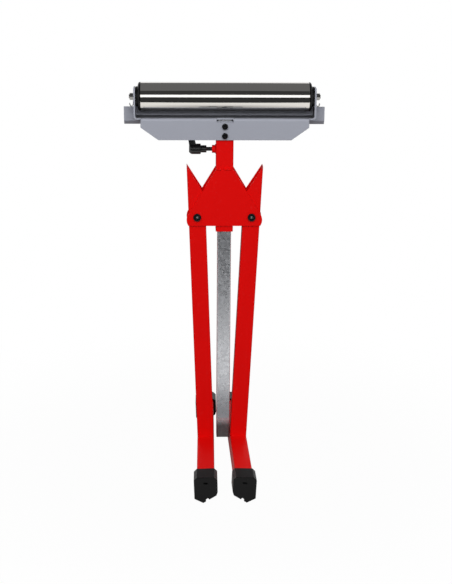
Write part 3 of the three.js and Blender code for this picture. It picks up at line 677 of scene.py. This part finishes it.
def bead_tree():
    """Geometry nodes that lay the ripples of a weld bead along a path."""
    found = bpy.data.node_groups.get("Weld bead")
    if found:
        return found
    tree, given, out = geometry_tree("Weld bead", (
        ("Path", "Geometry"), ("Radius", "Float"), ("Pitch", "Float"), ("Seed", "Int"),
        ("Finish", "Material")))
    path = linked(tree, "GeometryNodeMeshToCurve", {"Mesh": given["Path"]})
    even = linked(
        tree, "GeometryNodeResampleCurve", {"Curve": path.outputs[0], "Length": given["Pitch"]},
        mode="LENGTH")
    along = linked(tree, "GeometryNodeInputTangent")
    turn = linked(tree, "FunctionNodeAlignRotationToVector", {"Vector": along.outputs[0]}, axis="X")
    uneven = linked(
        tree, "FunctionNodeRandomValue",
        {"Min": LEAST_RIPPLE, "Max": MOST_RIPPLE, "Seed": given["Seed"]}, data_type="FLOAT_VECTOR")
    ripple = linked(tree, "GeometryNodeMeshIcoSphere", {"Radius": given["Radius"], "Subdivisions": 2})
    laid = linked(
        tree, "GeometryNodeInstanceOnPoints",
        {"Points": even.outputs[0], "Instance": ripple.outputs[0], "Rotation": turn.outputs[0],
         "Scale": uneven.outputs[0]})
    dress(tree, out, laid.outputs[0], given["Finish"])
    return tree


def grown(name, tree, values, mesh=None):
    """The plain mesh that a geometry tree gives for these values."""
    worker = new_object(name + "_work", mesh or bpy.data.meshes.new(name + "_work"))
    modifier = worker.modifiers.new("nodes", "NODES")
    modifier.node_group = tree
    for socket in tree.interface.items_tree:
        if socket.in_out == "INPUT" and socket.name in values:
            modifier[socket.identifier] = values[socket.name]
    return baked(worker, name)


def row_of(name, part_mesh, first, last, nodes, turn, turn_step=(0, 0, 0), slot=None):
    """A row of like parts that stand for these solids, or lie on them where a slot is named."""
    part = new_object(name + "_part", part_mesh)
    stands_for = () if slot else nodes
    slot = slot or slot_of(nodes[0])
    steps = max(1, len(nodes) - 1)
    mesh = grown(name, row_tree(), {
        "Part": part, "Count": len(nodes), "First": tuple(first),
        "Step": tuple((Vector(last) - Vector(first)) / steps),
        "Turn": turn, "Turn Step": turn_step, "Finish": finish(slot)})
    bpy.data.objects.remove(part)
    return add_piece(name, mesh, body_of(nodes[0]), slot, *stands_for)


def bead(name, paths, body, radius):
    """Painted weld beads along these paths."""
    sizes = settings().sizes
    mesh = bpy.data.meshes.new(name + "_path")
    points = [Vector(p) for path in paths for p in path]
    edges, start = [], 0
    for path in paths:
        edges += [(start + i, start + i + 1) for i in range(len(path) - 1)]
        start += len(path)
    mesh.from_pydata(points, edges, [])
    ripples = grown(name, bead_tree(), {
        "Radius": radius, "Pitch": sizes.bead_pitch, "Seed": sizes.bead_seed,
        "Finish": finish("red_paint")}, mesh)
    ripples.shade_smooth()
    return add_piece(name, ripples, body, "red_paint")


class STAND_OT_finish_solids(bpy.types.Operator):
    """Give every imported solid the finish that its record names."""

    bl_idname = "stand.finish_solids"
    bl_label = "Finish the solids"

    def execute(self, context):
        for subpart in frame["record"]["subparts"]:
            mesh = frame["nodes"][subpart["node"]].data
            mesh.materials.clear()
            mesh.materials.append(finish(subpart["material_slot"]))
        return {"FINISHED"}


class STAND_OT_sheet_work(bpy.types.Operator):
    """Round the edges of the cradle, the rail and the gusset plates."""

    bl_idname = "stand.sheet_work"
    bl_label = "Cradle, rail and gussets"

    def execute(self, context):
        for node in ("roller_cradle", "rear_rail", "front_plate", "rear_plate"):
            soften(node, settings().sizes.sheet_edge)
        return {"FINISHED"}


class STAND_OT_tubes(bpy.types.Operator):
    """Round the cut ends of the posts, the legs and the foot bars."""

    bl_idname = "stand.tubes"
    bl_label = "Posts, legs and foot bars"

    def execute(self, context):
        for node in (
            "outer_tube", "inner_tube", "inner_tube_plug", "post_sleeve", "clamp_boss", "leg_left",
            "leg_right", "foot_bar_left", "foot_bar_right",
        ):
            soften(node, settings().sizes.tube_edge)
        return {"FINISHED"}


class STAND_OT_mouldings(bpy.types.Operator):
    """Round the edges of the boots, paint shade into their slots, and shape the lever."""

    bl_idname = "stand.mouldings"
    bl_label = "Boots and lever"

    def execute(self, context):
        edge = settings().sizes.moulded_edge
        for node in ("boot_front_left", "boot_front_right", "boot_rear_left", "boot_rear_right"):
            self.dark_slot(soften(node, edge, 3))
        self.lever()
        return {"FINISHED"}

    def dark_slot(self, boot):
        """The bottom of the slot in a boot's end gets pure black: painted shade, where no light reaches."""
        faces = boot.data.polygons
        outward = math.copysign(1.0, sum(f.center.y for f in faces))
        end = max((f for f in faces if f.normal.y * outward > 0.9), key=lambda f: f.area)
        boot.data.materials.append(finish("slot_painted_shade"))
        for face in faces:
            depth = (end.center - face.center).dot(end.normal)
            if face.normal.dot(end.normal) > 0.95 and SLOT_DEPTHS[0] < depth < SLOT_DEPTHS[1]:
                face.material_index = 1

    def lever(self):
        """A turned barrel with its collar, and a flat arm that leans out of it."""
        low, high = box_mm("lever_handle")
        axis = middle("clamp_stud").z / MM
        barrel = turned("lever_barrel", LEVER_PROFILE, LEVER_SIDES)
        barrel.transform(
            Matrix.Translation(Vector((high.x, 0, axis)) * MM) @ Matrix.Rotation(-math.pi / 2, 4, "Y"))
        shape = bmesh.new()
        shape.from_mesh(barrel)
        top = high.z - axis
        root_outer, root_inner = high.x - 33.5, high.x - 18.5
        tip_inner, half_width = low.x + 10, 5.0
        loops = []
        for rise, inset in ((2.0, 0.0), (top - 2.2, 0.0), (top - 0.9, 0.35), (top - 0.2, 1.2), (top, 2.2)):
            share = rise / top
            outer = (1 - share) * root_outer + share * low.x + inset
            inner = (1 - share) * root_inner + share * tip_inner - inset
            loops.append([
                shape.verts.new(Vector((x, y, axis + rise)) * MM)
                for x, y in self.rounded_box(outer, inner, half_width - inset)])
        skin_over(shape, loops)
        made = add_piece(
            "lever_turned", shaded_mesh("lever_turned", shape), body_of("lever_handle"), "black_plastic",
            "lever_handle")
        made.data.materials[0] = finish("satin_plastic")

    def rounded_box(self, left, right, half):
        """The corners of a rounded box between two sides, in order."""
        curve = 1.6
        points = []
        for x, y, start in (
            (right - curve, half - curve, 0), (left + curve, half - curve, 90),
            (left + curve, curve - half, 180), (right - curve, curve - half, 270),
        ):
            for step in (0, 30, 60, 90):
                turn = math.radians(start + step)
                points.append((x + curve * math.cos(turn), y + curve * math.sin(turn)))
        return points


class STAND_OT_roller(bpy.types.Operator):
    """Turn the roller tube and its end caps."""

    bl_idname = "stand.roller"
    bl_label = "Roller and caps"

    def execute(self, context):
        sides = settings().sizes.round_sides
        low, high = box_mm("roller_tube")
        radius, half = (high.z - low.z) / 2, high.x
        bore = radius - ROLLER_WALL
        tube = turned("roller_tube_turned", (
            (bore, -half), (radius - 0.9, -half), (radius - 0.25, 0.25 - half), (radius, 0.9 - half),
            (radius, half - 0.9), (radius - 0.25, half - 0.25), (radius - 0.9, half), (bore, half)), sides)
        tube.transform(Matrix.Translation(middle("roller_tube")) @ Matrix.Rotation(math.pi / 2, 4, "Y"))
        add_piece("roller_tube_turned", tube, "roller", "roller_steel", "roller_tube")
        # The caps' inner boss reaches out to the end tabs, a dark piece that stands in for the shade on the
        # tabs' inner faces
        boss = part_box("axle_spacer_right")[1][0] / MM - half - 1.0
        cap = (
            (9.0, 0.2), (radius - 0.5, 0.2), (radius, 0.6), (radius - 0.2, 1.5), (radius - 0.8, 2.6),
            (radius - 1.9, 3.7), (radius - 3.4, 4.5), (radius - 5.2, 5.0), (20.6, 5.2), (20.0, 5.8),
            (19.8, boss - 0.6), (19.2, boss), (15.4, boss), (14.8, boss - 0.6), (14.8, 5.0), (10.0, 5.0),
            (9.0, 4.4))
        for side, hand in HANDS:
            mesh = turned("cap_" + side, cap, sides)
            face = Vector((hand * (half + 0.3) * MM, 0, middle("roller_tube").z))
            mesh.transform(Matrix.Translation(face) @ Matrix.Rotation(hand * math.pi / 2, 4, "Y"))
            node = "roller_cap_" + side
            add_piece(node + "_turned", mesh, "roller", "black_plastic", node)
        return {"FINISHED"}


class STAND_OT_fasteners(bpy.types.Operator):
    """Set out the screws, nuts and washers, and the threads and clips of the axle's ends."""

    bl_idname = "stand.fasteners"
    bl_label = "Fasteners"

    def execute(self, context):
        forward = (math.pi / 2, 0, 0)
        backward = (-math.pi / 2, 0, 0)
        pivots = ("pivot_screw_left", "pivot_screw_right")
        self.screws("head_screws", ("head_screw_upper", "head_screw_lower"), forward)
        self.worn_sockets(pivots, forward, *self.screws("pivot_screws", pivots, forward))
        self.nuts("head_nuts", ("head_nut_upper", "head_nut_lower"), backward, 0.0)
        self.nuts("pivot_nuts", ("pivot_nut_left", "pivot_nut_right"), backward, 2.2)
        self.washers("pivot_washers", ("pivot_washer_left", "pivot_washer_right"), backward)
        self.axle_ends()
        self.axle_clips()
        return {"FINISHED"}

    def screws(self, name, nodes, turn):
        """Socket screws whose heads face the front."""
        low, high = box_mm(nodes[0])
        head = (high.x - low.x) / 2
        seats = [self.seat(node) for node in nodes]
        depth = seats[0].y / MM - low.y
        part = socket_screw(
            name, head * 0.5, head, depth, head * 0.48, high.y - seats[0].y / MM, head * 0.16)
        row_of(name, part, seats[0], seats[1], nodes, turn)
        return seats, head, depth

    def worn_sockets(self, nodes, turn, seats, head, depth):
        """The bare metal that a key has left in the bottom of each socket."""
        end = ringed(
            "worn_socket",
            [circle(0.3, depth * 0.4), hexagon(head * 0.36, depth * 0.4), hexagon(head * 0.36, depth * 0.5),
             circle(head * 0.2, depth * 0.54), circle(head * 0.16, depth * 0.5)], FASTENER_SIDES)
        row_of("worn_sockets", end, seats[0], seats[1], nodes, turn, slot="bare_steel")

    def seat(self, node):
        """The middle of a screw's head, at the face that it bears on."""
        low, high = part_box(node)
        at = middle(node)
        rim = (high[0] - low[0]) / 2 * 0.9
        corners = [v.co for v in frame["nodes"][node].data.vertices]
        return Vector((at.x, max(c.y for c in corners if abs(c.x - at.x) > rim), at.z))

    def rear_seats(self, nodes):
        """Where nuts and washers at the back bear: the middle of the front face of each."""
        return [Vector((middle(node).x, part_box(node)[0][1], middle(node).z)) for node in nodes]

    def nuts(self, name, nodes, turn, dome):
        """Hex nuts that face the back."""
        low, high = box_mm(nodes[0])
        flats = min(high.x - low.x, high.z - low.z) / 2
        part = hex_nut(name, flats, flats * 0.61, high.y - low.y, dome)
        row_of(name, part, *self.rear_seats(nodes), nodes, turn)

    def washers(self, name, nodes, turn):
        """Flat washers under the nuts at the back."""
        low, high = box_mm(nodes[0])
        radius, height = (high.x - low.x) / 2, high.y - low.y
        bore, edge = radius * 0.54, 0.3
        part = turned(name, (
            (bore, 0), (radius - edge, 0), (radius, edge), (radius, height - edge), (radius - edge, height),
            (bore, height)), WASHER_SIDES)
        row_of(name, part, *self.rear_seats(nodes), nodes, turn)

    def axle_ends(self):
        """The two axle nuts, and the thread that shows past them."""
        nodes = ("axle_nut_left", "axle_nut_right")
        low, high = box_mm(nodes[1])
        flats = min(high.y - low.y, high.z - low.z) / 2
        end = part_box("axle")[1][0] / MM
        part = hex_nut("axle_nuts", flats, flats * 0.62, high.x - low.x)
        seats = [Vector((hand * low.x * MM, 0, middle(nodes[0]).z)) for side, hand in HANDS]
        row_of("axle_nuts", part, seats[0], seats[1], nodes, (0, -math.pi / 2, 0), (0, math.pi, 0))
        stub = ringed(
            "axle_thread",
            [circle(3.0, low.x - 4), circle(3.9, low.x - 3.9), *thread(3.95, 1.25, low.x - 3, end - 0.7),
             circle(3.2, end)], FASTENER_SIDES)
        both = bmesh.new()
        both.from_mesh(stub)
        stub.transform(Matrix.Rotation(math.pi, 4, "X"))
        both.from_mesh(stub)
        both.to_mesh(stub)
        both.free()
        stub.transform(
            Matrix.Translation((0, 0, middle("axle").z)) @ Matrix.Rotation(math.pi / 2, 4, "Y"))
        add_piece("axle_thread", stub, "post", "bare_steel")

    def axle_clips(self):
        """The bent spring clip that hangs from each end tab under its nut."""
        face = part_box("roller_cradle")[1][0] / MM
        axle = middle("axle").z / MM
        path = [Vector(point) for point in CLIP_PATH]
        edge = CLIP_WIDTH / 2
        for side, hand in HANDS:
            strip = bmesh.new()
            rows = []
            for i, (out, up) in enumerate(path):
                run = (path[min(i + 1, len(path) - 1)] - path[max(i - 1, 0)]).normalized()
                skin = Vector((run.y, -run.x)) * -CLIP_SHEET
                rows.append([
                    strip.verts.new((hand * (face + out + dx) * MM, y * MM, (axle + up + dz) * MM))
                    for dx, dz, y in ((0, 0, -edge), (0, 0, edge), (*skin, edge), (*skin, -edge))])
            skin_over(strip, rows)
            name = "axle_clip_" + side
            add_piece(name, shaded_mesh(name, strip), "post", "bare_steel")


class STAND_OT_spring(bpy.types.Operator):
    """Wind the spring that holds the lever in."""

    bl_idname = "stand.spring"
    bl_label = "Lever spring"

    def execute(self, context):
        low, high = (Vector(c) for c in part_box("lever_spring"))
        at = middle("lever_spring")
        wire, turns, steps, sides = 0.55 * MM, 4, 144, 12
        coil = (high.z - low.z) / 2 - wire
        shape = bmesh.new()
        rings = []
        for i in range(steps + 1):
            turn = 2 * math.pi * turns * i / steps
            out = Vector((0, math.cos(turn), math.sin(turn)))
            x = low.x + wire + (high.x - low.x - 2 * wire) * i / steps
            rings.append([])
            for j in range(sides):
                round_wire = 2 * math.pi * j / sides
                reach = out * (coil + wire * math.cos(round_wire))
                rings[-1].append(shape.verts.new(
                    (x + wire * math.sin(round_wire), at.y + reach.y, at.z + reach.z)))
        skin_over(shape, rings)
        made = add_piece(
            "lever_spring_coil", shaded_mesh("lever_spring_coil", shape), body_of("lever_spring"),
            slot_of("lever_spring"), "lever_spring")
        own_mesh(made)
        return {"FINISHED"}


class STAND_OT_welds(bpy.types.Operator):
    """Lay the painted weld beads of the gussets, the boss and the foot bars."""

    bl_idname = "stand.welds"
    bl_label = "Weld beads"

    def execute(self, context):
        sizes = settings().sizes
        self.plate_beads(sizes.bead_radius)
        self.boss_bead(sizes.fine_bead_radius)
        for (side, hand), fold in zip(HANDS, (sizes.fold_left, sizes.fold_right)):
            self.leg_bead(side, hand, fold, sizes.fine_bead_radius)
        return {"FINISHED"}

    def plate_beads(self, radius):
        """Two short runs along the top of each gusset plate."""
        tube = Vector(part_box("outer_tube")[1])
        paths = []
        for plate, face in (("front_plate", -1), ("rear_plate", 1)):
            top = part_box(plate)[1][2] + 0.9 * MM
            y = face * (tube.y + 2.0 * MM)
            for run in ((-15.0, -8.5), (-0.5, 13.0)):
                paths.append([(x * MM, y, top) for x in run])
        bead("frame_beads", paths, "stand_frame", radius)

    def boss_bead(self, radius):
        """Round the clamp boss, where it stands on the post."""
        low, high = (Vector(c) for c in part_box("clamp_boss"))
        at = middle("clamp_boss")
        reach = (high.z - low.z) / 2 + 0.2 * MM
        x, steps = high.x - 0.2 * MM, 48
        turns = [2 * math.pi * i / steps for i in range(steps + 1)]
        path = [(x, at.y + reach * math.cos(a), at.z + reach * math.sin(a)) for a in turns]
        bead("boss_bead", [path], "stand_frame", radius)

    def leg_bead(self, side, hand, fold, radius):
        """Along the front and the back of a leg's foot, where it stands on its foot bar."""
        pivot = Vector(joint_named(f"leg_{side}_fold")["pos_m"])
        lean = Matrix.Translation(pivot) @ Matrix.Rotation(-hand * fold, 4, "Y").inverted()
        local = [lean.inverted() @ v.co for v in frame["nodes"]["leg_" + side].data.vertices]
        low = min(v.z for v in local)
        foot = [v for v in local if v.z < low + 1 * MM]
        reach = max(abs(v.x) for v in foot) - 2.7 * MM
        half_y = max(abs(v.y) for v in foot) + 0.3 * MM
        paths = [[lean @ Vector((x, y, low)) for x in (-reach, reach)] for y in (-half_y, half_y)]
        bead("leg_bead_" + side, paths, "leg_" + side, radius)


def flat_card(name, half_width, near, far, material):
    """A sheet of the stage, between a near and a far edge that are given by Y and Z."""
    corners = [(-half_width, *near), (half_width, *near), (half_width, *far), (-half_width, *far)]
    mesh = bpy.data.meshes.new(name)
    mesh.from_pydata([Vector(c) for c in corners], [], [range(len(corners))])
    mesh.materials.append(material)
    card = new_object(name, mesh)
    return card


def flag_material(name, level):
    """A studio flag or strip with one even level."""
    made, shader = new_material(name)
    shader.inputs["Base Color"].default_value = (0, 0, 0, 1)
    shader.inputs["Roughness"].default_value = 1.0
    shader.inputs["Specular IOR Level"].default_value = 0.0
    shader.inputs["Emission Color"].default_value = (level, level, level, 1)
    shader.inputs["Emission Strength"].default_value = 1.0
    return made


def floor_material():
    """Pale floor with a soft shadow round the boots; metal mirrors it warm, with painted shade under the
    stand and behind it.
    """
    made = bpy.data.materials.new("studio floor")
    made.use_nodes = True
    tree = made.node_tree
    tree.nodes.clear()
    out = tree.nodes.new("ShaderNodeOutputMaterial")
    ray = linked(tree, "ShaderNodeLightPath").outputs
    place = object_place(tree)
    away = linked(tree, "ShaderNodeVectorMath", {0: place}, operation="LENGTH").outputs["Value"]
    axes = linked(tree, "ShaderNodeSeparateXYZ", {0: place})
    fade = ranged(tree, away, (0.25, 0.9), (0.975, 1.0), interpolation_type="SMOOTHSTEP")
    # Seen in metal, the floor's glow fades under the stand and behind it: painted shade in reflections,
    # over the floor's own matt shadow
    under = ranged(tree, away, (0.15, 0.55), (0.35, 1.0))
    behind = ranged(tree, axes.outputs["Y"], (0.0, 0.35), (1.0, 0.12))
    direct = calc(tree, "MULTIPLY", ray["Is Camera Ray"], fade)
    mirrored = calc(tree, "MULTIPLY", ray["Is Glossy Ray"], calc(tree, "MULTIPLY", under, behind))
    tint = mixed(tree, ray["Is Camera Ray"], FLOOR_MIRRORED, WHITE)
    matt = linked(tree, "ShaderNodeBsdfDiffuse", {"Color": FLOOR_MATT})
    glow = linked(tree, "ShaderNodeEmission", {"Color": tint, "Strength": 1.0})
    both = linked(
        tree, "ShaderNodeMixShader",
        {0: calc(tree, "MAXIMUM", direct, mirrored), 1: matt.outputs[0], 2: glow.outputs[0]})
    tree.links.new(both.outputs[0], out.inputs["Surface"])
    return made


class STAND_OT_stage(bpy.types.Operator):
    """Set up the floor, the studio light and the camera at the photograph's angle."""

    bl_idname = "stand.stage"
    bl_label = "Studio stage"

    def execute(self, context):
        studio = settings().studio
        scene = context.scene
        scene.view_settings.view_transform = "Standard"
        self.light_world(scene, studio)
        flat_card("studio_floor", FLOOR_REACH, (-FLOOR_REACH, 0), (FLOOR_REACH, 0), floor_material())
        self.hang_flags()
        self.place_lamps(studio)
        self.place_camera(scene, studio)
        return {"FINISHED"}

    def light_world(self, scene, studio):
        """White where it is seen, also by way of metal or glass, and a plain even level as light."""
        world = bpy.data.worlds.new("studio")
        world.use_nodes = True
        tree = world.node_tree
        ray = linked(tree, "ShaderNodeLightPath").outputs
        first = calc(tree, "MAXIMUM", ray["Is Camera Ray"], ray["Is Glossy Ray"])
        seen = calc(tree, "MAXIMUM", first, ray["Is Transmission Ray"])
        shown = linked(tree, "ShaderNodeBackground", {"Color": WHITE, "Strength": 1.0})
        light = linked(tree, "ShaderNodeBackground", {"Color": WHITE, "Strength": studio.sky})
        mix = linked(tree, "ShaderNodeMixShader", {0: seen, 1: light.outputs[0], 2: shown.outputs[0]})
        tree.links.new(mix.outputs[0], tree.nodes["World Output"].inputs["Surface"])
        scene.world = world

    def hang_flags(self):
        """Dark flags and one bright strip, which only shiny surfaces show: painted reflections that light
        nothing and cast no shadow.
        """
        for name, level, half_width, near, far in FLAGS:
            flag = flat_card(name, half_width, near, far, flag_material(name.replace("_", " "), level))
            flag.visible_camera = False
            flag.visible_diffuse = False
            flag.visible_shadow = False
            flag.visible_transmission = False

    def place_lamps(self, studio):
        """A broad light above the camera, and a weak one high on the left."""
        for name, place, target, size, power in (
            ("front light", (0.0, -2.3, 1.95), (0, 0, 0.55), (2.8, 1.2), studio.front_light),
            ("top light", (-0.9, -0.7, 2.9), (0, 0, 0.4), (1.6, 1.6), studio.front_light * 0.1),
        ):
            lamp = bpy.data.lights.new(name, "AREA")
            lamp.shape = "RECTANGLE"
            lamp.size, lamp.size_y = size
            lamp.energy = power
            made = new_object(name, lamp)
            made.location = place
            aim = Vector(target) - Vector(place)
            made.rotation_euler = aim.to_track_quat("-Z", "Y").to_euler()
            made.visible_glossy = False

    def place_camera(self, scene, studio):
        """The camera, turned round the point that it looks at."""
        turn, rise = studio.azimuth, studio.elevation
        back = Vector((math.sin(turn) * math.cos(rise), -math.cos(turn) * math.cos(rise), math.sin(rise)))
        camera = new_object("camera", bpy.data.cameras.new("camera"))
        camera.data.sensor_fit = "AUTO"
        camera.data.sensor_width = 36.0
        camera.data.lens = studio.lens
        camera.location = Vector(studio.aim) + back * studio.distance
        look = (-back).to_track_quat("-Z", "Y").to_matrix() @ Matrix.Rotation(studio.roll, 3, "Z")
        camera.rotation_euler = look.to_euler()
        scene.camera = camera


class STAND_PT_sidebar(bpy.types.Panel):
    """Lists the steps that build the roller stand."""

    bl_idname = "STAND_PT_sidebar"
    bl_label = "Roller Stand"
    bl_space_type = "VIEW_3D"
    bl_region_type = "UI"
    bl_category = "Roller Stand"

    def draw(self, context):
        for step in STEPS:
            self.layout.operator(step.bl_idname)


STEPS = (
    STAND_OT_finish_solids,
    STAND_OT_sheet_work,
    STAND_OT_tubes,
    STAND_OT_mouldings,
    STAND_OT_roller,
    STAND_OT_fasteners,
    STAND_OT_spring,
    STAND_OT_welds,
    STAND_OT_stage,
)
CLASSES = (StandColours, StandStudio, StandSizes, StandSettings, *STEPS, STAND_PT_sidebar)


def register():
    for made in CLASSES:
        bpy.utils.register_class(made)
    bpy.types.Scene.roller_stand = PointerProperty(type=StandSettings)


def unregister():
    del bpy.types.Scene.roller_stand
    for made in reversed(CLASSES):
        bpy.utils.unregister_class(made)


def main():
    register()
    for step in STEPS:
        group, name = step.bl_idname.split(".")
        getattr(getattr(bpy.ops, group), name)()


if __name__ == "__main__":
    main()
